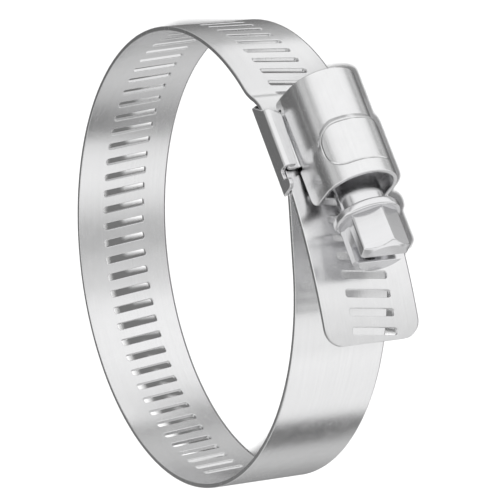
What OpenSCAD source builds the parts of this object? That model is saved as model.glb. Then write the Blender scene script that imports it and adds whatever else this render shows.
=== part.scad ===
// Worm-drive hose clamp: a slotted strip bent into a loop, a saddle, a housing and a worm screw.
// The origin is the centre of the bore, +Z is the axis of the hose and +X points at the housing.
// The screw lies along Y. Its head and the free tail of the strip point towards -Y.

/* [Band] */
// Radius of the bore that grips the hose
bore_r = 28.5; // [27:0.5:32]
// Width of the strip
band_w = 12.7; // [12:0.1:13]
// Thickness of the strip
band_t = 0.55; // [0.5:0.05:0.6]
// Distance from one slot to the next, along the middle of the strip
slot_pitch = 2.27; // [2.2:0.01:2.35]
// Length of a slot, across the strip
slot_l = 6.0; // [5:0.1:6.5]
// Width of a slot, along the strip
slot_w = 0.9; // [0.8:0.05:1]
// Offset of the row of slots from the middle of the strip
slot_z = -0.3; // [-0.6:0.1:0.6]
// Angle around the bore of one slot, which fixes where the others fall
slot_phase = 178.1; // [176:0.1:180]
// Slots between that one and the end of the row
slots_after = 11; // [4:1:12]
// Radius of both bends where the loop rises into the housing
rise_r = 6; // [5:0.5:7]
// Radius of the bend where the fixed end leaves the saddle
fixed_bend_r = 3; // [2:0.5:4]

/* [Tail] */
// Radius of the tail's curve
tail_r = 70; // [70:5:100]
// Distance of the tail's middle line from the bore's centre, at its highest point
tail_x = 30.1; // [30:0.05:30.2]
// Where that highest point lies along the screw
tail_apex_y = -1; // [-2:0.5:0]
// Length of the tail from its highest point to its tip
tail_len = 26.4; // [24:0.1:28]
// Length of the tail behind its highest point, where it meets the loop
tail_back = 3.1; // [3:0.1:3.3]
// Radius of the corners of the tip
tip_corner_r = 2.2; // [1:0.1:3]
// Distance of the last slot from the tip
tip_to_slot = 1.3; // [1.2:0.05:1.6]

/* [Saddle] */
// Thickness of the saddle's sheet
saddle_t = 0.5; // [0.4:0.05:0.5]
// Rear edge of the saddle
saddle_rear_y = 4.4; // [4:0.1:4.5]
// Front edge of the saddle's side walls
saddle_front_y = -8.1; // [-8.5:0.1:-7.5]
// Front edge of the plate under the fixed end
plate_front_y = -6.8; // [-7:0.1:-6]

/* [Housing] */
// Distance of the dome's axis from the bore's centre
dome_x = 34; // [34:0.05:34.2]
// Outer radius of the housing's dome
dome_r = 4.7; // [4.7:0.05:4.9]
// Thickness of the housing's sheet
housing_t = 0.55; // [0.5:0.05:0.55]
// Front end of the housing
housing_front_y = -11.2; // [-12:0.1:-11]
// Rear end of the housing
housing_rear_y = 3.4; // [3.2:0.1:3.6]

/* [Screw] */
// Distance of the screw's axis from the bore's centre
screw_x = 33.4; // [33.4:0.05:33.6]
// Outer radius of the worm's thread
worm_r = 3.4; // [3.3:0.05:3.4]
// Radius of the worm's core
core_r = 2.85; // [2.8:0.05:2.9]
// Radius of the collar behind the head
collar_r = 4.1; // [3.8:0.1:4.1]
// Size of the hexagon, across its flats
hex_af = 6.35; // [6.35:0.05:7]
// Front end of the hexagon
head_end_y = -20; // [-21:0.1:-19.5]
// Width of the screwdriver slot
driver_w = 1.2; // [1:0.1:1.4]
// Depth of the screwdriver slot
driver_d = 2.2; // [1.5:0.1:2.6]

/* [Hidden] */
steel = "lightsteelblue";
bright_steel = "gainsboro";
$fn = 96;
eps = 0.01;
// How far two pieces of one sheet run into each other
sink = 0.05;

loop_r = bore_r + band_t / 2;
fixed_x = bore_r + saddle_t + band_t / 2;
fixed_rear_y = 2.0;
fixed_straight_y = plate_front_y;

// Centre of the tail's curve, and the angle back from its highest point to where the loop joins it
tail_c = [tail_x - tail_r, tail_apex_y];
cut_angle = tail_back / tail_r * 180 / PI;
cut_gap = 0.06;

// The two bends that lift the loop into the housing: the upper one meets the tail's curve and
// the lower one meets the loop
upper_c = tail_c + (tail_r - rise_r) * [cos(cut_angle), sin(cut_angle)];
lower_d = loop_r + rise_r;
upper_d = norm(upper_c);
rise_between = acos(
    (upper_d * upper_d + lower_d * lower_d - 4 * rise_r * rise_r) / (2 * upper_d * lower_d)
);
leave_angle = atan2(upper_c.y, upper_c.x) + rise_between;
lower_c = lower_d * [cos(leave_angle), sin(leave_angle)];
steepest = atan2(lower_c.y - upper_c.y, lower_c.x - upper_c.x);

// Lengths of those bends along the middle of the strip
upper_len = rise_r * (steepest - cut_angle) * PI / 180;
lower_len = rise_r * (steepest - leave_angle) * PI / 180;
rise_len = upper_len + lower_len;

// The fixed end bends inwards and then runs straight until it meets the loop
fixed_c = [fixed_x - fixed_bend_r, fixed_straight_y];
join_angle = acos((loop_r - fixed_bend_r) / norm(fixed_c)) - atan2(fixed_c.y, fixed_c.x);

// A point of a curve of radius r around c, with the outward direction there
function on_arc(c, r, a, side = 1) = [c + r * [cos(a), sin(a)], side * [cos(a), sin(a)]];

// The loop's middle line, s millimetres along it from where it meets the tail
function on_rise(s) =
    s < upper_len ? on_arc(upper_c, rise_r, cut_angle + s / rise_r * 180 / PI)
    : s < rise_len ? on_arc(lower_c, rise_r, 180 + steepest - (s - upper_len) / rise_r * 180 / PI, -1)
    : on_arc([0, 0], loop_r, leave_angle + (s - rise_len) / loop_r * 180 / PI);

// The outline of a strip of thickness t around a list of such points
function strip_outline(points, t) = concat(
    [for (p = points) p[0] + p[1] * t / 2],
    [for (i = [len(points) - 1 : -1 : 0]) points[i][0] - points[i][1] * t / 2]
);

module strip(points, t = band_t) {
    linear_extrude(band_w, center = true) polygon(strip_outline(points, t));
}

// Lead angle of the worm where it meets the strip: the slots lean by as much
mesh_r = (worm_r + core_r) / 2;
lead_angle = atan(slot_pitch / (2 * PI * mesh_r));

// One slot's cutter at a point of a strip's middle line
module slot_cutter(p) {
    translate([p[0].x, p[0].y, slot_z])
        rotate([0, 0, atan2(p[1].y, p[1].x)])
            rotate([-lead_angle, 0, 0])
                cube([4 * band_t, slot_w, slot_l], center = true);
}

// ---- band: the loop and its fixed end ----
slot_s0 = rise_len + (slot_phase - leave_angle) * PI / 180 * loop_r;
first_slot_clear = 1.1;
first_slot = -floor((slot_s0 - first_slot_clear) / slot_pitch);

// The exact ring starts midway between two slots, and the bent stretches run a little way into it
slot_angle = slot_pitch / loop_r * 180 / PI;
overlap_angle = 0.5;
whole_slots = floor((slot_phase - leave_angle - overlap_angle) / slot_angle - 0.5);
ring_start = slot_phase - (whole_slots + 0.5) * slot_angle;

module band() {
    color(steel)
    difference() {
        union() {
            rotate([0, 0, ring_start])
                rotate_extrude(angle = 360 - join_angle - ring_start)
                    translate([bore_r, -band_w / 2]) square([band_t, band_w]);
            strip(rise_points, band_t - 2 * eps);
            strip(fixed_points, band_t - 2 * eps);
        }
        for (k = [first_slot : slots_after]) slot_cutter(on_rise(slot_s0 + k * slot_pitch));
    }
}

rise_step = 0.5;
rise_points = [
    for (s = [cut_gap : rise_step : rise_len - rise_step / 2]) on_rise(s),
    on_arc([0, 0], loop_r, leave_angle),
    on_arc([0, 0], loop_r, (leave_angle + ring_start) / 2),
    on_arc([0, 0], loop_r, ring_start),
    on_arc([0, 0], loop_r, ring_start + overlap_angle)
];
fixed_points = [
    [[fixed_x, fixed_rear_y], [1, 0]],
    for (a = [0 : join_angle / 8 : join_angle + eps]) on_arc(fixed_c, fixed_bend_r, -a),
    on_arc([0, 0], loop_r, -join_angle),
    on_arc([0, 0], loop_r, -join_angle - overlap_angle)
];

// ---- band_tail: the free end of the same strip, which the worm draws through the housing ----
tip_angle = tail_len / tail_r * 180 / PI;
tail_slot_angle = slot_pitch / tail_r * 180 / PI;
last_slot_angle = tip_angle - tip_to_slot / tail_r * 180 / PI;
tail_slots = floor((last_slot_angle + cut_angle) / tail_slot_angle - 0.3);

// The corners of the tip: what lies outside a rounded corner
module tip_corner_cutter() {
    difference() {
        cube([4 * band_t, 2 * tip_corner_r, 2 * tip_corner_r], center = true);
        translate([0, tip_corner_r, -tip_corner_r])
            rotate([0, 90, 0]) cylinder(h = 5 * band_t, r = tip_corner_r, center = true);
    }
}

module band_tail() {
    color(steel)
    difference() {
        translate([tail_c.x, tail_c.y, 0])
            rotate([0, 0, -tip_angle])
                rotate_extrude(angle = tip_angle + cut_angle, $fn = 360)
                    translate([tail_r - band_t / 2, -band_w / 2]) square([band_t, band_w]);
        for (k = [0 : tail_slots])
            slot_cutter(on_arc(tail_c, tail_r, k * tail_slot_angle - last_slot_angle));
        translate([tail_c.x, tail_c.y, 0]) rotate([0, 0, -tip_angle]) translate([tail_r, 0, 0]) {
            for (m = [0, 1]) mirror([0, 0, m]) translate([0, 0, band_w / 2]) tip_corner_cutter();
        }
    }
}

// ---- saddle: a channel under the fixed end, with side walls and lips that hold the housing ----
wall_gap = 0.1;
wall_in = band_w / 2 + wall_gap;
wall_out = wall_in + saddle_t;
tail_gap = 0.125;
foot_x = tail_x + band_t / 2 + tail_gap;
lip_gap = 0.03;
lip_x = foot_x + housing_t + lip_gap;
lip_top_x = lip_x + saddle_t;
lip_rear_y = 2.4;
lip_front_y = -5.4;
lip_in_rear = 4.9;
lip_in_front = 5.3;

// One side wall seen along the hose: a low tongue at the rear, the tall part under the lip,
// a relief notch and an ear at the front
tongue_h = 0.6;
rear_slant = 0.9;
rear_slant_h = 1.6;
ear_r = 0.75;
ear_drop = 1.1;
notch_l = 1.5;
notch_h = 1.35;

module saddle_wall_outline() {
    difference() {
        union() {
            polygon([
                [bore_r, saddle_rear_y],
                [bore_r + tongue_h, saddle_rear_y],
                [lip_top_x - rear_slant_h, lip_rear_y + rear_slant],
                [lip_top_x, lip_rear_y],
                [lip_top_x, lip_front_y],
                [lip_top_x - ear_drop, saddle_front_y],
                [bore_r, saddle_front_y]
            ]);
            translate([lip_top_x - ear_drop, saddle_front_y + ear_r]) circle(r = ear_r);
        }
        translate([lip_top_x - notch_h, lip_front_y - notch_l]) square([2 * notch_h, notch_l]);
    }
}

module saddle() {
    color(steel) {
        union() {
            translate([bore_r, plate_front_y, -wall_out])
                cube([saddle_t, saddle_rear_y - plate_front_y, 2 * wall_out]);
            for (m = [0, 1]) mirror([0, 0, m]) {
                translate([0, 0, wall_in]) linear_extrude(saddle_t) saddle_wall_outline();
                translate([lip_x, 0, 0]) rotate([90, 0, 90]) linear_extrude(saddle_t)
                    polygon([
                        [lip_rear_y - rear_slant, lip_in_rear],
                        [lip_rear_y, wall_in + sink],
                        [lip_rear_y, wall_out],
                        [lip_front_y, wall_out],
                        [lip_front_y, lip_in_front]
                    ]);
            }
        }
    }
}

// ---- housing: a domed cover over the worm, with feet under the saddle's lips ----
foot_rear_y = 1.9;
foot_front_y = -5.6;
foot_gap = 0.15;
foot_out = wall_in - foot_gap;
pilot_r = 1.5;
pilot_gap = 0.06;
rib_front_y = -9.3;
rib_t = 0.5;
neck_r = 2.75;
dome_in = dome_r - housing_t;

// A half round about the axis at x on two straight walls, which is the housing's section
module arch(r, x = dome_x) {
    union() {
        translate([x, 0]) circle(r = r);
        translate([foot_x, -r]) square([x - foot_x, 2 * r]);
    }
}

// Extrudes from y0 to y1 a section drawn with its x outwards and its y along the hose
module along_screw(y0, y1) {
    translate([0, y1, 0]) rotate([90, 0, 0]) linear_extrude(y1 - y0) children();
}

module below_feet() {
    size = 2 * dome_r + 2 * dome_x;
    translate([foot_x - size, -size / 2, -size / 2]) cube(size);
}

module housing() {
    color(bright_steel)
    difference() {
        union() {
            along_screw(housing_front_y, housing_rear_y) difference() {
                arch(dome_r);
                arch(dome_in);
            }
            along_screw(housing_rear_y - housing_t, housing_rear_y) difference() {
                arch(dome_r - sink);
                translate([screw_x, 0]) circle(r = pilot_r + pilot_gap);
            }
            along_screw(rib_front_y, rib_front_y + rib_t) difference() {
                arch(dome_r - sink);
                arch(neck_r + pilot_gap, screw_x);
            }
            for (m = [0, 1]) mirror([0, 0, m])
                translate([foot_x, foot_front_y, dome_in + sink])
                    cube([housing_t, foot_rear_y - foot_front_y, foot_out - dome_in - sink]);
        }
        below_feet();
    }
}

// ---- screw: worm, neck, collar and slotted hexagon in one piece ----
worm_rear_y = 1.9;
worm_front_y = -8.6;
collar_rear_y = -13.85;
collar_t = 1.1;
crest_w = 0.42;
root_w = 0.95;
around = 24;
along = 46;
shank_sink = 0.5;
pilot_inset = 0.1;
hex_bevel = 0.1;
// A slot that a turn of the thread lies in, counted from the tip, and where it is along the screw
meshed_slot = 11;
mesh_y = tail_c.y - tail_r * sin(last_slot_angle - meshed_slot * tail_slot_angle);

// The worm's radius at angle a around the screw, from +X towards +Z, and at y along it. The thread
// is right-handed, and on the side of the strip, at 180 degrees, one turn lies in each slot.
function turn_part(a, y) = (y - mesh_y) / slot_pitch - (180 - a) / 360;
function from_crest(a, y) = slot_pitch * abs(turn_part(a, y) - round(turn_part(a, y)));
function ridge(d) = min(1, max(0, (root_w / 2 - d) / (root_w / 2 - crest_w / 2)));
function worm_radius(a, y) = core_r + (worm_r - core_r) * ridge(from_crest(a, y));

function worm_y(j) = worm_front_y + (worm_rear_y - worm_front_y) * j / along;
function worm_point(a, y, r) = [screw_x + r * cos(a), y, r * sin(a)];

module worm() {
    points = concat(
        [for (j = [0 : along]) for (i = [0 : around - 1])
            worm_point(i * 360 / around, worm_y(j), worm_radius(i * 360 / around, worm_y(j)))],
        [[screw_x, worm_front_y, 0], [screw_x, worm_rear_y, 0]]
    );
    front = (along + 1) * around;
    last = along * around;
    faces = concat(
        [for (j = [0 : along - 1]) for (i = [0 : around - 1]) for (f = [0, 1]) let (
            n = (i + 1) % around,
            p = j * around,
            q = p + around
        ) f == 0 ? [p + i, p + n, q + i] : [p + n, q + n, q + i]],
        [for (i = [0 : around - 1]) [front, (i + 1) % around, i]],
        [for (i = [0 : around - 1]) [front + 1, last + i, last + (i + 1) % around]]
    );
    polyhedron(points, faces);
}

// A round length of the screw from y0 to y1
module shank(y0, y1, r0, r1) {
    translate([screw_x, y1, 0]) rotate([90, 0, 0]) cylinder(h = y1 - y0, r1 = r1, r2 = r0);
}

module screw() {
    color(bright_steel)
    difference() {
        union() {
            shank(worm_rear_y - shank_sink, housing_rear_y - pilot_inset, pilot_r, pilot_r);
            shank(collar_rear_y - eps, worm_front_y + shank_sink, neck_r, neck_r);
            shank(collar_rear_y - collar_t, collar_rear_y, collar_r, collar_r);
            intersection() {
                translate([screw_x, collar_rear_y - collar_t + eps, 0]) rotate([90, 0, 0])
                    cylinder(h = collar_rear_y - collar_t - head_end_y + eps, r = hex_af / sqrt(3), $fn = 6);
                shank(head_end_y, 0, hex_af / 2 - hex_bevel, hex_af / 2 - hex_bevel - head_end_y);
            }
            worm();
        }
        translate([screw_x - driver_w / 2, head_end_y - driver_d, -hex_af])
            cube([driver_w, 2 * driver_d, 2 * hex_af]);
    }
}

band();
band_tail();
saddle();
housing();
screw();
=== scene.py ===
"""A worm-drive hose clamp in steel: band, free end, saddle, housing and screw."""

import math

import bmesh
import bpy
import numpy as np
from mathutils import Matrix, Vector
from mathutils.geometry import delaunay_2d_cdt


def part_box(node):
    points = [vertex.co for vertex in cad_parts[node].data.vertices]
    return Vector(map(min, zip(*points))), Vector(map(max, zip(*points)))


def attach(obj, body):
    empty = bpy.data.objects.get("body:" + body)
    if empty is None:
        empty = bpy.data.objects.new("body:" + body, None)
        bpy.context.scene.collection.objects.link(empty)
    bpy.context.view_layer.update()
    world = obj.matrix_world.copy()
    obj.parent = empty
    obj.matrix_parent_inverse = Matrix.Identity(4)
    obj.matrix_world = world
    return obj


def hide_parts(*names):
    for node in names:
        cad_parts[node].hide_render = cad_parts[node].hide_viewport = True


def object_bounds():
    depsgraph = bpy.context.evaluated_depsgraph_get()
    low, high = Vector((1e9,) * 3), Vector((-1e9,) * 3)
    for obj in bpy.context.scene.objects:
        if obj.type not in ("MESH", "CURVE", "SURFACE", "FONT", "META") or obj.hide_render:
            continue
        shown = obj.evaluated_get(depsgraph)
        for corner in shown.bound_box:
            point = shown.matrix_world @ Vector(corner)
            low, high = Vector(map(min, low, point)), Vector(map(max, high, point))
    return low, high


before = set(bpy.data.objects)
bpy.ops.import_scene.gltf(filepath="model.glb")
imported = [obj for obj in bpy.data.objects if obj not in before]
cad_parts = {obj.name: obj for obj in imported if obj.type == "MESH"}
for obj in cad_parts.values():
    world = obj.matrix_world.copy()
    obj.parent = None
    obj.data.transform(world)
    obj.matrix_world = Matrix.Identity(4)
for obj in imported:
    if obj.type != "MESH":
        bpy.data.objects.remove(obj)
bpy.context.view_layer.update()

MM = 0.001
UV_PER_MM = 0.01

X, Y, Z = range(3)


def span(node, axis):
    """A node's lowest and highest place along an axis, in millimetres."""
    return [round(corner[axis] / MM, 2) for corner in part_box(node)]


# ---- Sizes, in millimetres. The loop's axis is Z, and the screw lies along Y with its head at -Y ----
BORE_R = span("saddle", X)[0]
SHEET_T = 0.5

# Strip, and the slots punched through it
HALF_W = span("band", Z)[1]
BAND_T = 0.55
PITCH = 2.27
SLOT_L, SLOT_W, SLOT_Z, SLOT_CORNER = 6.0, 0.9, -0.3, 0.3
SLOT_PHASE = math.radians(178.1)
SLOTS_AFTER = 11
CUT_GAP, CUT_TO_SLOT = 0.06, 1.1
RISE_R = 6.0
FIXED_BEND_R, FIXED_END, FIXED_CORNER_R = 3.0, 2.0, 0.8

# Free end of the strip, an arc from TAIL_LEN before the housing's middle to TAIL_BACK after it
TAIL_R = 70.0
TAIL_C = Vector((-39.9, -1.0))
TAIL_LEN, TAIL_BACK = 26.4, 3.1
TIP_CORNER_R, TIP_TO_SLOT = 2.2, 1.3
LAST_SLOT_CLEAR = 0.3 * PITCH

# Saddle
PLATE_X = BORE_R + SHEET_T / 2
PLATE_FRONT = -6.8
WALL_FRONT, PLATE_REAR = span("saddle", Y)
WALL_TOP, WALL_Z = 31.2, span("saddle", Z)[1] - SHEET_T / 2
SADDLE_BEND = 0.4
LIP_X = 31.33
LIP_FRONT, LIP_REAR, LIPS_FROM = -5.4, 2.4, -6.0
LIP_DEPTH_FRONT, LIP_DEPTH_REAR, LIP_SLANT = 5.3, 4.9, 0.9
NOTCH_FRONT, NOTCH_BOTTOM = -6.75, 30.2
REAR_TOP, REAR_BOTTOM = 30.0, 29.15

# Housing. Its front, inside the round-cornered panel and ahead of it, stands prouder than the rear
DOME_X, DOME_R, DOME_T = 34.0, 4.7, 0.55
DOME_FRONT, DOME_REAR = span("housing", Y)
FOOT_X, FOOT_Z = span("housing", X)[0], span("housing", Z)[1]
FOOT_BEND = 0.5
FOOT_FRONT, FOOT_REAR = -5.6, 1.9
RELIEF_W, RELIEF_R = 0.4, 0.18
PANEL_CENTRE, PANEL_HALF, PANEL_CORNER, PANEL_LINE = (-6.6, 0.0), (2.75, 4.9), 2.4, 0.14
STEP_DROP, STEP_W, STEP_RUN = 0.4, 0.7, 2.0
STEP_END, STEP_FADE = 1.5, 3.0
END_INSET, END_THINNER = 0.02, 0.06
RIB_Y, RIB_T = -9.05, 0.5
FIT_GAP, SHAFT_PLAY = 0.01, 0.06

# Screw
SCREW_X = sum(span("screw", X)) / 2
HEAD_END, PILOT_END = span("screw", Y)
WORM_R, CORE_R, WORM_STEPS = 3.4, 2.85, 220
WORM_FRONT, WORM_REAR, WORM_RUNOUT = -8.6, 1.9, 0.5
CREST_W, ROOT_W = 0.42, 0.95
NECK_R = 2.75
PILOT_R, PILOT_EDGE = 1.5, 0.2
COLLAR_R, COLLAR_FACE_R, COLLAR_EDGE = span("screw", Z)[1], 3.0, 0.32
COLLAR_REAR, COLLAR_FRONT = -13.85, -14.95
WORM_SINK, COLLAR_SINK, HEX_SINK = 0.5, 0.2, 0.3
HEX_AF, HEX_WEAR = 6.35, 0.07
CHAMFER_DROP, CHAMFER_SLOPE, CHAMFER_L = 0.25, 1.25, 0.9
HEX_UV_R, HEX_UV_SLANT = 3.5, 0.2
DRIVER_W, DRIVER_D, DRIVER_EDGE = 1.2, 2.2, 0.1
MESHED_SLOT = 11

# Fineness of the meshes: spacing of points in millimetres, and turn between points in radians
CELL, FINE_CELL, OUTLINE_STEP = 0.6, 0.3, 0.5
BEND_TURN, FOLD_TURN, CORNER_TURN = 0.06, 0.2, 0.26
CORNER_SHARE = 0.49
RIM_ANGLES = (60, 30, 0)
RIM_CLEAR = 0.08


# ---- Paths ----
class Path:
    """A planar path of arcs and straight lines, given as (length, radius) with 0 for a straight line.
    The path heads 90 degrees to the left of its normal, and a positive radius turns it further left."""

    def __init__(self, start, normal_angle, segments):
        self.segments = []
        point, angle, s = Vector(start), normal_angle, 0.0
        for length, radius in segments:
            self.segments.append((s, length, radius, point.copy(), angle))
            point, angle = self._along(point, angle, radius, length)
            s += length
        self.length = s

    @staticmethod
    def _along(point, angle, radius, distance):
        normal = Vector((math.cos(angle), math.sin(angle)))
        if radius == 0:
            return point + distance * Vector((-normal.y, normal.x)), angle
        turned_to = angle + distance / radius
        turned_normal = Vector((math.cos(turned_to), math.sin(turned_to)))
        return point + radius * (turned_normal - normal), turned_to

    def at(self, s):
        """The point, the normal and the heading at distance s."""
        segment = self.segments[0]
        for candidate in self.segments:
            if s >= candidate[0]:
                segment = candidate
        start, _, radius, point, angle = segment
        point, angle = self._along(point, angle, radius, s - start)
        normal = Vector((math.cos(angle), math.sin(angle)))
        return point, normal, Vector((-normal.y, normal.x))

    def marks(self, turn, coarse):
        """Distances along the path, coarse apart at most, and at most one turn apart on a bend."""
        out = []
        for s, length, radius, _, _ in self.segments:
            step = min(coarse, turn * abs(radius)) if radius else coarse
            n = max(1, math.ceil(length / step))
            out += [s + length * i / n for i in range(n)]
        return out + [self.length]


# ---- Outlines ----
def rounded(corners, step=OUTLINE_STEP):
    """A closed outline with each corner (x, y, radius) rounded, and a point at least every step."""
    points = []
    for i, (x, y, r) in enumerate(corners):
        here = Vector((x, y))
        if r <= 0:
            points.append(here)
            continue
        back = Vector(corners[i - 1][:2]) - here
        ahead = Vector(corners[(i + 1) % len(corners)][:2]) - here
        half_angle = back.angle(ahead) / 2
        reach = min(r / math.tan(half_angle), CORNER_SHARE * back.length, CORNER_SHARE * ahead.length)
        radius = reach * math.tan(half_angle)
        bisector = (back.normalized() + ahead.normalized()).normalized()
        centre = here + bisector * (radius / math.sin(half_angle))
        begin = here + back.normalized() * reach - centre
        end = here + ahead.normalized() * reach - centre
        turn = math.atan2(begin.x * end.y - begin.y * end.x, begin.dot(end))
        steps = max(3, math.ceil(abs(turn) / CORNER_TURN))
        for k in range(steps + 1):
            c, s = math.cos(turn * k / steps), math.sin(turn * k / steps)
            points.append(centre + Vector((begin.x * c - begin.y * s, begin.x * s + begin.y * c)))
    out = []
    for i, p in enumerate(points):
        q = points[(i + 1) % len(points)]
        parts = max(1, math.ceil((q - p).length / step))
        out += [tuple(p.lerp(q, k / parts)) for k in range(parts)]
    return np.array(out)


def slot_outline(s):
    """A slot across the strip, centred s along it and leaning with the worm's thread."""
    lean = math.atan(PITCH / (math.pi * (WORM_R + CORE_R)))
    c, d = math.cos(lean), math.sin(lean)
    w, h, r = SLOT_W / 2, SLOT_L / 2, SLOT_CORNER
    loop = rounded([(-w, -h, r), (-w, h, r), (w, h, r), (w, -h, r)])
    x, y = loop[:, 0], loop[:, 1]
    return np.stack([s + x * c + y * d, SLOT_Z - x * d + y * c], 1)


def inset(loop, d):
    """The loop moved d into the material, which lies on its left, and the direction away from it."""
    ahead = np.roll(loop, -1, 0) - loop
    ahead /= np.linalg.norm(ahead, axis=1, keepdims=True)
    right = np.stack([ahead[:, 1], -ahead[:, 0]], 1)
    away = right + np.roll(right, 1, 0)
    away /= np.linalg.norm(away, axis=1, keepdims=True)
    mitre = np.clip((away * right).sum(1, keepdims=True), 0.5, 1)
    return loop - away * d / mitre, away


def inside(points, loop):
    """Which of the points lie inside the loop."""
    x, y = points[:, :1], points[:, 1:2]
    x0, y0 = loop[:, 0], loop[:, 1]
    x1, y1 = np.roll(x0, -1), np.roll(y0, -1)
    straddles = (y0 > y) != (y1 > y)
    crossing = x0 + (y - y0) * (x1 - x0) / np.where(y1 == y0, 1, y1 - y0)
    return ((straddles & (x < crossing)).sum(1) % 2).astype(bool)


def on_sheet(points, loops, margin):
    """Which of the points lie within the first loop and outside the others, all inset by the margin."""
    keep = inside(points, inset(loops[0], margin)[0])
    for hole in loops[1:]:
        near = np.abs(points - hole.mean(0)).max(1) < np.ptp(hole, 0).max()
        index = np.flatnonzero(near & keep)
        if len(index):
            keep[index[inside(points[index], inset(hole, margin)[0])]] = False
    return keep


def signed_area(loop):
    """Positive for a loop drawn counterclockwise."""
    x, y = loop[:, 0], loop[:, 1]
    return 0.5 * float((x * np.roll(y, -1) - y * np.roll(x, -1)).sum())


# ---- Meshes ----
def finish_mesh(name, co, faces, normals, uv, material, body, node=None):
    """An object from points and UVs in millimetres, with its own normals if given, riding on a body."""
    mesh = bpy.data.meshes.new(name)
    mesh.from_pydata([tuple(c * MM for c in p) for p in co], [], faces)
    mesh.polygons.foreach_set("use_smooth", [True] * len(mesh.polygons))
    layer = mesh.uv_layers.new(name="UVMap")
    index = np.zeros(len(mesh.loops), np.int32)
    mesh.loops.foreach_get("vertex_index", index)
    layer.data.foreach_set("uv", (np.array(uv)[index] * UV_PER_MM).ravel().astype(np.float32))
    if normals:
        mesh.normals_split_custom_set_from_vertices([tuple(n) for n in normals])
    mesh.materials.append(material)
    obj = bpy.data.objects.new(name, mesh)
    bpy.context.scene.collection.objects.link(obj)
    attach(obj, body)
    if node:
        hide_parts(node)
    return obj


def filled(loops, rim, grid):
    """The flat face between loops set back by the rim, with the grid's points inside it: its points,
    its triangles, and where each loop's points begin."""
    grid_u, grid_v = np.meshgrid(grid[0], grid[1], indexing="ij")
    inner = np.stack([grid_u.ravel(), grid_v.ravel()], 1)
    inner = inner[on_sheet(inner, loops, rim + RIM_CLEAR)]
    points, edges, starts = [], [], []
    for loop in loops:
        start, n = len(points), len(loop)
        starts.append(start)
        edges += [(start + i, start + (i + 1) % n) for i in range(n)]
        points += inset(loop, rim)[0].tolist()
    points += inner.tolist()
    _, _, found, origins, _, _ = delaunay_2d_cdt([Vector(p) for p in points], edges, [], 0, 1e-7)
    known = [origin[0] if origin else -1 for origin in origins]
    tris = np.array([[known[i] for i in tri] for tri in found])
    tris = tris[(tris >= 0).all(1)]
    middles = np.array(points)[tris].mean(1)
    return points, tris[on_sheet(middles, loops, rim)].tolist(), starts


def slab(name, outline, holes, place, thickness, grid, material, body, node=None, rim=0.1):
    """Sheet metal of one thickness with rounded rims. The outline and holes are drawn flat, place(u, v)
    gives the point, the normal and the directions of u and v on the bent sheet, and grid holds the u
    and v marks."""
    loops = [outline if signed_area(outline) > 0 else outline[::-1]]
    loops += [hole if signed_area(hole) < 0 else hole[::-1] for hole in holes]
    flat, tris, starts = filled(loops, rim, grid)
    placed = [place(u, v) for u, v in flat]
    count = len(flat)
    half = thickness / 2
    co, normals, uv, faces = [], [], [], []
    for side in (1, -1):
        co += [point + normal * half * side for point, normal, _, _ in placed]
        normals += [normal * side for _, normal, _, _ in placed]
        uv += flat
    for a, b, c in tris:
        faces += [(a, b, c), (count + a, count + c, count + b)]
    for loop, start in zip(loops, starts):
        n = len(loop)
        rows = [range(start, start + n)]
        for side, angles in ((1, RIM_ANGLES), (-1, RIM_ANGLES[::-1])):
            for angle in angles:
                c, s = math.cos(math.radians(angle)), math.sin(math.radians(angle))
                ring, away = inset(loop, rim * (1 - c))
                rows.append(range(len(co), len(co) + n))
                for (u, v), (away_u, away_v) in zip(ring.tolist(), away.tolist()):
                    point, normal, along_u, along_v = place(u, v)
                    co.append(point + normal * side * (half - rim + rim * s))
                    normals.append((along_u * away_u + along_v * away_v) * c + normal * side * s)
                    uv.append((u, v))
        rows.append(range(count + start, count + start + n))
        for upper, lower in zip(rows, rows[1:]):
            faces += [(upper[i - 1], lower[i - 1], lower[i], upper[i]) for i in range(n)]
    _, normal, along_u, along_v = placed[0]
    if along_u.cross(along_v).dot(normal) < 0:
        faces = [face[::-1] for face in faces]
    return finish_mesh(name, co, faces, normals, uv, material, body, node)


def clamped(t):
    """t held between 0 and 1."""
    return min(1.0, max(0.0, t))


def smooth(t):
    """0 below 0, 1 above 1, and an S-shaped rise between."""
    t = clamped(t)
    return t * t * (3 - 2 * t)


# ---- Materials ----
class Nodes:
    """Short calls that add nodes to a tree. An input may be a socket or a constant."""

    def __init__(self, tree):
        self.tree = tree
        tree.nodes.clear()

    def put(self, socket, value):
        if isinstance(value, bpy.types.NodeSocket):
            self.tree.links.new(value, socket)
        elif value is not None:
            socket.default_value = value

    def add(self, kind, **inputs):
        node = self.tree.nodes.new(kind)
        for key, value in inputs.items():
            self.put(node.inputs[key.replace("_", " ")], value)
        return node

    def calc(self, operation, a, b=None, c=None, clamp=False):
        node = self.tree.nodes.new("ShaderNodeMath")
        node.operation, node.use_clamp = operation, clamp
        for i, value in enumerate((a, b, c)):
            self.put(node.inputs[i], value)
        return node.outputs[0]

    def ramp(self, factor, stops):
        """Grey tones between stops of (position, tone)."""
        node = self.add("ShaderNodeValToRGB", Fac=factor)
        elements = node.color_ramp.elements
        elements[0].position, elements[1].position = stops[0][0], stops[-1][0]
        for position, _ in stops[1:-1]:
            elements.new(position)
        for element, (_, tone) in zip(elements, stops):
            element.color = (tone, tone, tone, 1)
        return node.outputs["Color"]

    def noise(self, vector, detail, repeats):
        mapping = self.add("ShaderNodeMapping", Vector=vector, Scale=repeats)
        stretched = mapping.outputs["Vector"]
        return self.add("ShaderNodeTexNoise", Vector=stretched, Scale=1.0, Detail=detail).outputs["Fac"]


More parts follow.
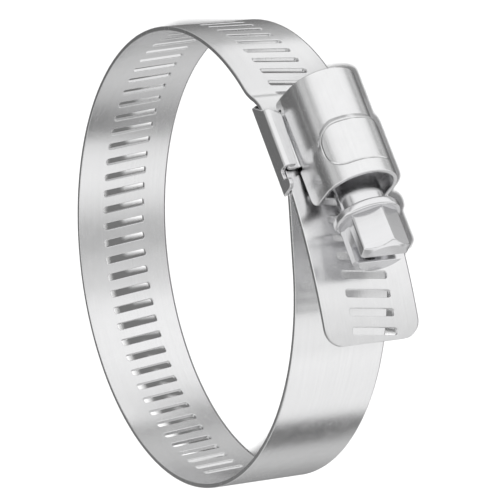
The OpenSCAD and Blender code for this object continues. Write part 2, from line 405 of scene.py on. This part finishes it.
# Patterns in the metal, as detail and repeats in 100 mm along u, across it and in depth
FINE_LINES = (4.0, (12.0, 1600.0, 1.0))
COARSE_LINES = (3.0, (5.0, 420.0, 1.0))
CLOUDS = (3.0, (60.0, 60.0, 1.0))
SPECKS = (2.0, (900.0, 900.0, 1.0))
SPECK_LEVEL = 0.62
CLOUD_GLOSS = 0.10
CLOUD_TONE, LINE_TONE, BASE_TONE, MARK_TONE = 0.10, 0.08, 0.91, 0.2
COARSE_HEIGHT, MARK_DEPTH, GROOVE_DEPTH = 0.6, 0.8, 30.0
FINE_LINE_HEIGHT = 0.0000016


def groove(n, uv, centre, half, corner, width):
    """1 along the outline of a rounded rectangle drawn on the sheet, in millimetres, and 0 elsewhere."""
    split = n.add("ShaderNodeSeparateXYZ", Vector=uv)
    beyond = []
    for i, axis in enumerate("XY"):
        away = n.calc("SUBTRACT", n.calc("MULTIPLY", split.outputs[axis], 1 / UV_PER_MM), centre[i])
        beyond.append(n.calc("SUBTRACT", n.calc("ABSOLUTE", away), half[i] - corner))
    squares = [n.calc("POWER", n.calc("MAXIMUM", b, 0.0), 2.0) for b in beyond]
    outside = n.calc("SQRT", n.calc("ADD", *squares))
    within = n.calc("MINIMUM", n.calc("MAXIMUM", *beyond), 0.0)
    edge = n.calc("ABSOLUTE", n.calc("SUBTRACT", n.calc("ADD", outside, within), corner))
    return n.calc("SUBTRACT", 1.0, n.calc("DIVIDE", edge, width), clamp=True)


def steel(name, tint, roughness, grain, wear, panel=None):
    """Bright metal, drawn along u: fine lines in its gloss and height, cloudy tone and a few marks."""
    material = bpy.data.materials.new(name)
    material.use_nodes = True
    n = Nodes(material.node_tree)
    uv = n.add("ShaderNodeUVMap").outputs["UV"]
    lines = n.noise(uv, *FINE_LINES)
    coarse_lines = n.noise(uv, *COARSE_LINES)
    clouds = n.noise(uv, *CLOUDS)
    specks = n.noise(uv, *SPECKS)
    marks = n.calc("MULTIPLY", n.calc("SUBTRACT", specks, SPECK_LEVEL), wear, clamp=True)
    gloss = n.calc("MULTIPLY_ADD", lines, grain, roughness - grain / 2 - CLOUD_GLOSS / 2)
    gloss = n.calc("MULTIPLY_ADD", clouds, CLOUD_GLOSS, gloss)
    gloss = n.calc("ADD", gloss, marks, clamp=True)
    shade = n.calc("MULTIPLY_ADD", coarse_lines, LINE_TONE, BASE_TONE)
    shade = n.calc("MULTIPLY_ADD", clouds, CLOUD_TONE, shade)
    shade = n.calc("MULTIPLY_ADD", marks, -MARK_TONE, shade)
    colour = n.add("ShaderNodeVectorMath", Vector=tint)
    colour.operation = "SCALE"
    n.put(colour.inputs["Scale"], shade)
    height = n.calc("MULTIPLY_ADD", coarse_lines, COARSE_HEIGHT, lines)
    height = n.calc("MULTIPLY_ADD", marks, -MARK_DEPTH, height)
    if panel:
        height = n.calc("MULTIPLY_ADD", groove(n, uv, *panel), -GROOVE_DEPTH, height)
    bump = n.add("ShaderNodeBump", Strength=1.0, Distance=FINE_LINE_HEIGHT, Height=height)
    shader = n.add(
        "ShaderNodeBsdfPrincipled",
        Base_Color=colour.outputs["Vector"],
        Metallic=1.0,
        Roughness=gloss,
        Normal=bump.outputs["Normal"],
    )
    n.add("ShaderNodeOutputMaterial", Surface=shader.outputs["BSDF"])
    return material


panel_line = (PANEL_CENTRE, PANEL_HALF, PANEL_CORNER, PANEL_LINE)
strip_steel = steel("strip_steel", (0.80, 0.80, 0.805), roughness=0.23, grain=0.10, wear=0.8)
pressed_steel = steel("pressed_steel", (0.79, 0.79, 0.795), roughness=0.21, grain=0.06, wear=1.0)
dome_steel = steel("dome_steel", (0.82, 0.82, 0.825), roughness=0.24, grain=0.05, wear=1.0, panel=panel_line)
turned_steel = steel("turned_steel", (0.78, 0.78, 0.79), roughness=0.18, grain=0.10, wear=0.8)


# ---- Band: the loop, its rise into the housing and its fixed end ----
def along_strip(path):
    """A strip that follows the path, drawn as (s, z), s being the distance along it."""

    def place(s, z):
        point, normal, heading = path.at(s)
        return (
            Vector((point.x, point.y, z)),
            Vector((normal.x, normal.y, 0)),
            Vector((heading.x, heading.y, 0)),
            Vector((0, 0, 1)),
        )

    return place


def direction(angle):
    return Vector((math.cos(angle), math.sin(angle)))


across = np.linspace(-HALF_W, HALF_W, math.ceil(2 * HALF_W / CELL))[1:-1]
loop_r = BORE_R + BAND_T / 2

# The rise: two bends of RISE_R, one from the tail's arc and one onto the loop
cut_angle = TAIL_BACK / TAIL_R
upper_c = TAIL_C + (TAIL_R - RISE_R) * direction(cut_angle)
lower_d = loop_r + RISE_R
cosine = (upper_c.length_squared + lower_d**2 - 4 * RISE_R**2) / (2 * upper_c.length * lower_d)
leave_angle = math.atan2(upper_c.y, upper_c.x) + math.acos(cosine)
lower_c = lower_d * direction(leave_angle)
steepest = math.atan2(lower_c.y - upper_c.y, lower_c.x - upper_c.x)
upper_len = RISE_R * (steepest - cut_angle)
lower_len = RISE_R * (steepest - leave_angle)

# The fixed end: off the loop by a short straight and a bend, then flat on the saddle's plate
fixed_x = BORE_R + SHEET_T + BAND_T / 2
fixed_c = Vector((fixed_x - FIXED_BEND_R, PLATE_FRONT))
join_angle = math.acos((loop_r - FIXED_BEND_R) / fixed_c.length) - math.atan2(fixed_c.y, fixed_c.x)
band_path = Path(
    upper_c + RISE_R * direction(cut_angle),
    cut_angle,
    [
        (upper_len, RISE_R),
        (lower_len, -RISE_R),
        (loop_r * (2 * math.pi - join_angle - leave_angle), loop_r),
        (math.sqrt(fixed_c.length_squared - (loop_r - FIXED_BEND_R) ** 2), 0),
        (FIXED_BEND_R * join_angle, FIXED_BEND_R),
        (FIXED_END - PLATE_FRONT, 0),
    ],
)
band_outline = [
    (CUT_GAP, -HALF_W, 0),
    (band_path.length, -HALF_W, FIXED_CORNER_R),
    (band_path.length, HALF_W, FIXED_CORNER_R),
    (CUT_GAP, HALF_W, 0),
]
phase_s = upper_len + lower_len + (SLOT_PHASE - leave_angle) * loop_r
slots_before = math.floor((phase_s - CUT_TO_SLOT) / PITCH)
slab(
    "band",
    rounded(band_outline),
    [slot_outline(phase_s + k * PITCH) for k in range(-slots_before, SLOTS_AFTER + 1)],
    along_strip(band_path),
    BAND_T,
    (band_path.marks(BEND_TURN, CELL), across),
    strip_steel,
    "clamp",
    "band",
)

# ---- Tail: the free end of the strip, drawn from its tip ----
tip_angle = -TAIL_LEN / TAIL_R
tail_end = TAIL_LEN + TAIL_BACK
tail_path = Path(TAIL_C + TAIL_R * direction(tip_angle), tip_angle, [(tail_end, TAIL_R)])
tail_outline = [
    (0, HALF_W, TIP_CORNER_R),
    (0, -HALF_W, TIP_CORNER_R),
    (tail_end, -HALF_W, 0),
    (tail_end, HALF_W, 0),
]
tail_slots = math.floor((tail_end - TIP_TO_SLOT - LAST_SLOT_CLEAR) / PITCH) + 1
slab(
    "band_tail",
    rounded(tail_outline),
    [slot_outline(TIP_TO_SLOT + k * PITCH) for k in range(tail_slots)],
    along_strip(tail_path),
    BAND_T,
    (tail_path.marks(BEND_TURN, CELL), across),
    strip_steel,
    "tail",
    "band_tail",
)


# ---- Saddle: one stamping, folded up at the sides and over at the lips ----
def folded(path, plain_path, plain):
    """A sheet folded across Y, drawn as (y, c), c being the distance from the middle around its
    section. Where plain(y) is true the section follows the plain path, which has fewer folds."""

    def place(y, c):
        side = 1 if c >= 0 else -1
        point, normal, heading = (plain_path if plain(y) else path).at(abs(c))
        return (
            Vector((point.x, y, side * point.y)),
            Vector((normal.x, 0, side * normal.y)),
            Vector((0, 1, 0)),
            Vector((side * heading.x, 0, heading.y)),
        )

    return place


def mirrored(half):
    """A closed outline from its half with c above 0, listed from front to rear."""
    return half + [(y, -c, r) for y, c, r in reversed(half)]


def both_sides(marks):
    """Marks on both sides of 0, from marks that begin at 0."""
    return np.array([-c for c in marks[::-1]] + marks[1:])


quarter = math.pi / 2 * SADDLE_BEND
plate_half = WALL_Z - SADDLE_BEND
wall_run = LIP_X - PLATE_X - 2 * SADDLE_BEND
lip_run = 2.0
up_the_wall = [(plate_half, 0), (quarter, -SADDLE_BEND)]
over_the_lip = [(wall_run, 0), (quarter, -SADDLE_BEND), (lip_run, 0)]
saddle_path = Path((PLATE_X, 0), 0, up_the_wall + over_the_lip)
saddle_plain = Path((PLATE_X, 0), 0, up_the_wall + [(wall_run + quarter + lip_run, 0)])


def wall_c(x):
    """The distance around the saddle's section of a point x on its side wall."""
    return plate_half + quarter + x - PLATE_X - SADDLE_BEND


lip_bend_c = wall_c(LIP_X - SADDLE_BEND)
lip_c = lip_bend_c + quarter + plate_half
saddle_half = [
    (PLATE_FRONT, 5.8, 0.4),
    (WALL_FRONT, 6.5, 0.3),
    (WALL_FRONT, wall_c(WALL_TOP), 0.74),
    (NOTCH_FRONT, wall_c(WALL_TOP), 0.6),
    (NOTCH_FRONT, wall_c(NOTCH_BOTTOM), 0.3),
    (LIP_FRONT, wall_c(NOTCH_BOTTOM), 0.3),
    (LIP_FRONT, lip_c - LIP_DEPTH_FRONT, 0.25),
    (LIP_REAR - LIP_SLANT, lip_c - LIP_DEPTH_REAR, 0.25),
    (LIP_REAR, lip_bend_c + quarter, 0.4),
    (LIP_REAR + 0.1, lip_bend_c, 0.3),
    (LIP_REAR + 0.9, wall_c(REAR_TOP), 0.4),
    (PLATE_REAR - 0.4, wall_c(REAR_BOTTOM), 0.3),
    (PLATE_REAR, 6.3, 0.2),
]
slab(
    "saddle",
    rounded(mirrored(saddle_half), 0.15),
    [],
    folded(saddle_path, saddle_plain, lambda y: y < LIPS_FROM),
    SHEET_T,
    (np.arange(-8.0, PLATE_REAR, 0.4), both_sides(saddle_path.marks(FOLD_TURN, CELL))),
    pressed_steel,
    "clamp",
    "saddle",
)

# ---- Housing: the domed cover with its feet, closed rear end and inner rib ----
dome_mid = DOME_R - DOME_T / 2
dome_arc = math.pi / 2 * dome_mid
wall_len = DOME_X - (FOOT_X + DOME_T / 2) - FOOT_BEND
foot_turn = math.pi / 2 * FOOT_BEND
foot_len = FOOT_Z - dome_mid - FOOT_BEND
dome_top = (DOME_X + dome_mid, 0)
round_the_foot = [(wall_len, 0), (foot_turn, -FOOT_BEND), (foot_len, 0)]
straight_down = [(wall_len + foot_turn + foot_len, 0)]
housing_path = Path(dome_top, 0, [(dome_arc, dome_mid)] + round_the_foot)
housing_plain = Path(dome_top, 0, [(dome_arc, dome_mid)] + straight_down)
wall_end = dome_arc + DOME_X - FOOT_X
bend_start = dome_arc + wall_len
foot_end = bend_start + foot_turn + foot_len
housing_half = [
    (DOME_FRONT, wall_end, 1.3),
    (FOOT_FRONT - RELIEF_W, wall_end, 0.2),
    (FOOT_FRONT - RELIEF_W, bend_start, RELIEF_R),
    (FOOT_FRONT, bend_start, RELIEF_R),
    (FOOT_FRONT, foot_end, 0.4),
    (FOOT_REAR, foot_end, 0.4),
    (FOOT_REAR, bend_start, RELIEF_R),
    (FOOT_REAR + RELIEF_W, bend_start, RELIEF_R),
    (FOOT_REAR + RELIEF_W, wall_end, 0.2),
    (DOME_REAR, wall_end, 0.6),
]


def footless(y):
    """Whether y is past the feet, by half a relief cut, so that the wall runs straight down."""
    return y < FOOT_FRONT - RELIEF_W / 2 or y > FOOT_REAR + RELIEF_W / 2


def dome_step(y, c):
    """How far the dome's sheet sinks at (y, c): behind the panel it lies lower."""
    beyond = [abs(v - m) - h + PANEL_CORNER for v, m, h in zip((y, c), PANEL_CENTRE, PANEL_HALF)]
    away = math.hypot(max(beyond[0], 0), max(beyond[1], 0)) + min(max(beyond), 0) - PANEL_CORNER
    rear = smooth((y - PANEL_CENTRE[0]) / STEP_RUN)
    above_feet = clamped((wall_end - STEP_END - abs(c)) / STEP_FADE)
    return -STEP_DROP * smooth(away / STEP_W) * rear * above_feet


def raised(place, height):
    """The bent sheet with its middle pushed out by height(u, v)."""
    d = 0.02

    def pushed(u, v):
        point, normal, along_u, along_v = place(u, v)
        slope_u = (height(u + d, v) - height(u - d, v)) / (2 * d)
        slope_v = (height(u, v + d) - height(u, v - d)) / (2 * d)
        tilted = (normal - along_u * slope_u - along_v * slope_v).normalized()
        return point + normal * height(u, v), tilted, along_u, along_v

    return pushed


slab(
    "housing",
    rounded(mirrored(housing_half), 0.25),
    [],
    raised(folded(housing_path, housing_plain, footless), dome_step),
    DOME_T,
    (np.arange(DOME_FRONT + 0.3, DOME_REAR, 0.2), both_sides(housing_path.marks(BEND_TURN, FINE_CELL))),
    dome_steel,
    "clamp",
    "housing",
    rim=0.14,
)


def facing_forward(y):
    """A flat sheet across the screw at y, drawn as (z, x) from the dome's axis."""

    def place(u, v):
        return Vector((DOME_X + v, y, u)), Vector((0, -1, 0)), Vector((0, 0, 1)), Vector((1, 0, 0))

    return place


def half_circle(r, x, n):
    """Corners of a half circle of n steps from z = r to z = -r, raised by x."""
    return [(r * math.cos(a), x + r * math.sin(a), 0) for a in np.linspace(0, math.pi, n + 1)]


screw_drop = SCREW_X - DOME_X
leg = FOOT_X - DOME_X + END_INSET
end_r = DOME_R - DOME_T - STEP_DROP - FIT_GAP
rib_r = DOME_R - DOME_T - FIT_GAP
pilot_hole = [(z, x) for z, x, _ in half_circle(PILOT_R + SHAFT_PLAY, 0, 24)[:-1]]
pilot_hole += [(-z, -x) for z, x in pilot_hole]
cells = np.arange(-4.5, 4.6, CELL)
slab(
    "housing_end",
    rounded([(end_r, leg, 0), *half_circle(end_r, 0, 48), (-end_r, leg, 0)]),
    [np.array(pilot_hole) + (0, screw_drop)],
    facing_forward(DOME_REAR - DOME_T / 2 - END_INSET),
    DOME_T - END_THINNER,
    (cells, cells),
    pressed_steel,
    "clamp",
    rim=0.08,
)

rib_opening = NECK_R + SHAFT_PLAY
slab(
    "housing_rib",
    rounded(
        [
            (rib_r, leg, 0),
            *half_circle(rib_r, 0, 48),
            (-rib_r, leg, 0),
            (-rib_opening, leg, 0),
            *half_circle(rib_opening, screw_drop, 40)[::-1],
            (rib_opening, leg, 0),
        ]
    ),
    [],
    facing_forward(RIB_Y),
    RIB_T,
    (cells, cells),
    pressed_steel,
    "clamp",
    rim=0.06,
)


# ---- Screw: worm, pilot, neck, collar and slotted hexagon ----
def rings(profile, radius_at, around):
    """Points around the screw's axis for each (y, r) of the profile, listed from front to rear, and
    the faces between them and over both ends. radius_at(angle, y, r) gives each point's radius."""
    co, faces = [], []
    for y, r in profile:
        for i in range(around):
            a = i * 2 * math.pi / around
            here = radius_at(a, y, r)
            co.append((SCREW_X + here * math.cos(a), y, here * math.sin(a)))
    for row in range(0, len(co) - around, around):
        for i in range(around):
            n = (i + 1) % around
            faces.append((row + i, row + around + i, row + around + n, row + n))
    faces.append(tuple(range(around)))
    faces.append(tuple(range(len(co) - 1, len(co) - around - 1, -1)))
    return co, faces


def soften(obj, degrees):
    """Smooth shading, with edges kept sharp where the surface turns by more than the angle."""
    mesh = bmesh.new()
    mesh.from_mesh(obj.data)
    bmesh.ops.recalc_face_normals(mesh, faces=mesh.faces)
    for edge in mesh.edges:
        edge.smooth = len(edge.link_faces) == 2 and edge.calc_face_angle(0) < math.radians(degrees)
    for face in mesh.faces:
        face.smooth = True
    mesh.to_mesh(obj.data)
    mesh.free()


def turned(name, profile, radius_at=lambda a, y, r: r, around=96, node=None):
    """A turned part of the screw from (y, r) pairs listed from front to rear."""
    co, faces = rings(profile, radius_at, around)
    uv = [(i * 2 * math.pi / around * max(r, 1.0), y) for y, r in profile for i in range(around)]
    soften(finish_mesh(name, co, faces, None, uv, turned_steel, "screw", node), 35)


def fillet(y, r, size, start, end, steps=5):
    """Points of a rounded corner of a turned profile, centred on (y, r), from one angle to another."""
    angles = [math.radians(a) for a in np.linspace(start, end, steps + 1)]
    return [(y + size * math.cos(a), r + size * math.sin(a)) for a in angles]


# The thread's ridge passes through one of the tail's slots at mesh_y
mesh_y = TAIL_C.y - TAIL_R * math.sin((TAIL_LEN - TIP_TO_SLOT - MESHED_SLOT * PITCH) / TAIL_R)


def thread_radius(a, y, r):
    """The worm's radius: a ridge on the core r, which runs out at both ends."""
    turns = (y - mesh_y) / PITCH - (math.pi - a) / (2 * math.pi)
    away = PITCH * abs(turns - round(turns))
    ridge = smooth((ROOT_W / 2 - away) / (ROOT_W / 2 - CREST_W / 2))
    fade = clamped(min(y - WORM_FRONT, WORM_REAR - y) / WORM_RUNOUT)
    return r - FIT_GAP + (WORM_R - r) * ridge * fade


turned(
    "screw_worm",
    [(y, CORE_R) for y in np.linspace(WORM_FRONT, WORM_REAR, WORM_STEPS + 1).tolist()],
    thread_radius,
    node="screw",
)
turned(
    "screw_pilot",
    [
        (WORM_REAR - WORM_SINK, PILOT_R),
        *fillet(PILOT_END - PILOT_EDGE, PILOT_R - PILOT_EDGE, PILOT_EDGE, 90, 0),
    ],
    around=64,
)
turned("screw_neck", [(COLLAR_REAR - COLLAR_SINK, NECK_R), (WORM_FRONT + WORM_SINK, NECK_R)], around=64)
turned(
    "screw_collar",
    [
        (COLLAR_FRONT, COLLAR_FACE_R),
        *fillet(COLLAR_FRONT + COLLAR_EDGE, COLLAR_R - COLLAR_EDGE, COLLAR_EDGE, 180, 90),
        *fillet(COLLAR_REAR - COLLAR_EDGE, COLLAR_R - COLLAR_EDGE, COLLAR_EDGE, 90, 0),
        (COLLAR_REAR, COLLAR_FACE_R),
    ],
)


def hexagon_radius(a, y, limit):
    """The hexagon's radius, cut down to the chamfer's limit and to its worn corners."""
    sector = (a % (math.pi / 3)) - math.pi / 6
    return min(HEX_AF / 2 / math.cos(sector), limit, HEX_AF / math.sqrt(3) - HEX_WEAR)


def shape_object(name, co, faces):
    mesh = bpy.data.meshes.new(name)
    mesh.from_pydata(co, [], faces)
    obj = bpy.data.objects.new(name, mesh)
    bpy.context.scene.collection.objects.link(obj)
    return obj


def hex_head():
    """A hexagon with a chamfered end, cut across by the screwdriver slot, with softened edges."""
    profile = [
        (HEAD_END + d, HEX_AF / 2 - CHAMFER_DROP + d * CHAMFER_SLOPE)
        for d in np.linspace(0, CHAMFER_L, 10).tolist()
    ]
    profile.append((COLLAR_FRONT + HEX_SINK, HEX_AF))
    head = shape_object("screw_hex", *rings(profile, hexagon_radius, 144))
    block = [
        (SCREW_X + x * DRIVER_W / 2, HEAD_END + y * DRIVER_D, z * HEX_AF)
        for x in (-1, 1)
        for y in (-1, 1)
        for z in (-1, 1)
    ]
    sides = [(0, 1, 3, 2), (4, 6, 7, 5), (0, 4, 5, 1), (2, 3, 7, 6), (0, 2, 6, 4), (1, 5, 7, 3)]
    tool = shape_object("slot_tool", block, sides)
    cut = head.modifiers.new("cut", "BOOLEAN")
    cut.operation, cut.object, cut.solver = "DIFFERENCE", tool, "EXACT"
    bevel = head.modifiers.new("bevel", "BEVEL")
    bevel.width, bevel.segments = DRIVER_EDGE, 2
    bevel.limit_method, bevel.angle_limit = "ANGLE", math.radians(40)
    shape = bpy.data.meshes.new_from_object(head.evaluated_get(bpy.context.evaluated_depsgraph_get()))
    head.modifiers.clear()
    bpy.data.objects.remove(tool)
    head.data = shape
    shape.transform(Matrix.Scale(MM, 4))
    layer = shape.uv_layers.new(name="UVMap")
    for loop in shape.loops:
        p = shape.vertices[loop.vertex_index].co / MM
        around = math.atan2(p.z, p.x - SCREW_X) * HEX_UV_R + p.x * HEX_UV_SLANT
        layer.data[loop.index].uv = (around * UV_PER_MM, p.y * UV_PER_MM)
    shape.materials.clear()
    shape.materials.append(turned_steel)
    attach(head, "screw")
    soften(head, 32)


hex_head()

# ---- Stage: a pale floor under the clamp's edge ----
FLOOR_HALF, FLOOR_TONE = 4.0, 0.86
floor_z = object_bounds()[0][2]
floor_mesh = bpy.data.meshes.new("floor")
floor_corners = [(x * FLOOR_HALF, y * FLOOR_HALF, floor_z) for x, y in ((-1, -1), (1, -1), (1, 1), (-1, 1))]
floor_mesh.from_pydata(floor_corners, [], [(0, 1, 2, 3)])
floor = bpy.data.objects.new("floor", floor_mesh)
bpy.context.scene.collection.objects.link(floor)
paper = bpy.data.materials.new("paper")
paper.use_nodes = True
paper_inputs = paper.node_tree.nodes["Principled BSDF"].inputs
paper_inputs["Base Color"].default_value = (FLOOR_TONE, FLOOR_TONE, FLOOR_TONE, 1)
paper_inputs["Roughness"].default_value = 1.0
paper_inputs["Specular IOR Level"].default_value = 0.0
floor_mesh.materials.append(paper)
floor.visible_glossy = False

# ---- Light: a banded studio for the metal, a low even fill, cards and one sun ----
# Tones of the studio's wall, from 0 to 255, as the metal shows them, by degrees around Z
STUDIO = [
    (0, 240), (40, 238), (54, 205), (61, 140), (66, 140), (73, 185), (88, 192), (101, 180), (112, 166),
    (125, 120), (146, 96), (163, 122), (187, 158), (200, 188), (222, 200), (241, 182), (253, 158),
    (261, 162), (270, 225), (286, 238), (300, 228), (312, 178), (322, 178), (331, 205), (344, 210),
    (351, 236), (360, 240),
]
CEILING_TONE, CEILING_START, CEILING_BLEND = 240, 0.93, 0.05
SKY_GAIN, STEEL_TONE = 1.3, 0.8
FILL = 0.2
SUN_ENERGY, SUN_SIZE = 6.0, math.radians(4)
SUN_AZIMUTH, SUN_HEIGHT = math.radians(-31.95), math.radians(35)
# Cards, in millimetres: name, ends along X, place along Y, bottom and top, tone
CARDS = [
    ("card_dark", (-66, -27), -80, (-52, -16), 105),
    ("card_bright", (-27, 24), -80, (-52, -16), 246),
    ("card_rear", (16, 88), 80, (-52, -28), 248),
]


def linear(tone):
    """The light for a tone, as a share of the strongest."""
    return ((tone / 255 + 0.055) / 1.055) ** 2.4 / SKY_GAIN


world = bpy.data.worlds.new("studio")
bpy.context.scene.world = world
world.use_nodes = True
w = Nodes(world.node_tree)
xyz = w.add("ShaderNodeSeparateXYZ", Vector=w.add("ShaderNodeTexCoord").outputs["Generated"])
azimuth = w.calc("ARCTAN2", xyz.outputs["Y"], xyz.outputs["X"])
turn = w.calc("FRACT", w.calc("ADD", w.calc("DIVIDE", azimuth, 2 * math.pi), 1.0))
wall = w.ramp(turn, [(degrees / 360, linear(tone)) for degrees, tone in STUDIO])
above = w.calc("SUBTRACT", xyz.outputs["Z"], CEILING_START)
above = w.calc("DIVIDE", above, CEILING_BLEND, clamp=True)
room = w.add("ShaderNodeMix", Factor=above)
room.data_type = "RGBA"
w.put(room.inputs[6], wall)
w.put(room.inputs[7], (linear(CEILING_TONE),) * 3 + (1,))
reflected = w.add("ShaderNodeBackground", Color=room.outputs[2], Strength=SKY_GAIN / STEEL_TONE)
fill = w.add("ShaderNodeBackground", Color=(1, 1, 1, 1), Strength=FILL)
backdrop = w.add("ShaderNodeBackground", Color=(1, 1, 1, 1), Strength=1.0)
ray = w.add("ShaderNodeLightPath")


def either(choice, no, yes):
    """The yes shader for rays of the choice, and the no shader for the others."""
    mix = w.add("ShaderNodeMixShader", Fac=ray.outputs[choice])
    w.put(mix.inputs[1], no.outputs[0])
    w.put(mix.inputs[2], yes.outputs[0])
    return mix


unseen = either("Is Glossy Ray", fill, reflected)
w.add("ShaderNodeOutputWorld", Surface=either("Is Camera Ray", unseen, backdrop).outputs[0])


def card(name, x, y, z, tone):
    """A studio card standing along X at y, from x[0] to x[1] and z[0] to z[1], in millimetres.
    Only the metal sees it."""
    mesh = bpy.data.meshes.new(name)
    corners = [(x[0], z[0]), (x[1], z[0]), (x[1], z[1]), (x[0], z[1])]
    mesh.from_pydata([(a * MM, y * MM, b * MM) for a, b in corners], [], [(0, 1, 2, 3)])
    material = bpy.data.materials.new(name)
    material.use_nodes = True
    n = Nodes(material.node_tree)
    strength = linear(tone) * SKY_GAIN / STEEL_TONE
    glow = n.add("ShaderNodeEmission", Color=(1, 1, 1, 1), Strength=strength)
    n.add("ShaderNodeOutputMaterial", Surface=glow.outputs["Emission"])
    mesh.materials.append(material)
    obj = bpy.data.objects.new(name, mesh)
    bpy.context.scene.collection.objects.link(obj)
    obj.visible_camera = False
    obj.visible_diffuse = False
    obj.visible_shadow = False
    obj.visible_transmission = False


for row in CARDS:
    card(*row)

sun_data = bpy.data.lights.new("sun", "SUN")
sun_data.energy = SUN_ENERGY
sun_data.angle = SUN_SIZE
sun = bpy.data.objects.new("sun", sun_data)
bpy.context.scene.collection.objects.link(sun)
level = direction(SUN_AZIMUTH) * math.cos(SUN_HEIGHT)
sun.rotation_euler = Vector((level.x, level.y, math.sin(SUN_HEIGHT))).to_track_quat("Z", "Y").to_euler()
sun.visible_glossy = False

# ---- Camera ----
VIEW_FROM, VIEW_UP = Vector((0.7871, -0.4001, 0.4695)), Vector((0.4975, 0.8617, -0.0996))
VIEW_DISTANCE = 0.45
SENSOR_W, LENS = 36, 256.8
SHIFT_X, SHIFT_Y = 0.0504, 0.0068
back = VIEW_FROM.normalized()
right = VIEW_UP.cross(back).normalized()
camera_data = bpy.data.cameras.new("camera")
camera_data.sensor_width, camera_data.lens = SENSOR_W, LENS
camera_data.shift_x, camera_data.shift_y = SHIFT_X, SHIFT_Y
camera_data.clip_start, camera_data.clip_end = 0.01, 50
camera = bpy.data.objects.new("camera", camera_data)
bpy.context.scene.collection.objects.link(camera)
pose = Matrix((right, back.cross(right), back)).transposed().to_4x4()
pose.translation = back * VIEW_DISTANCE
camera.matrix_world = pose
bpy.context.scene.camera = camera
bpy.context.scene.view_settings.view_transform = "Standard"
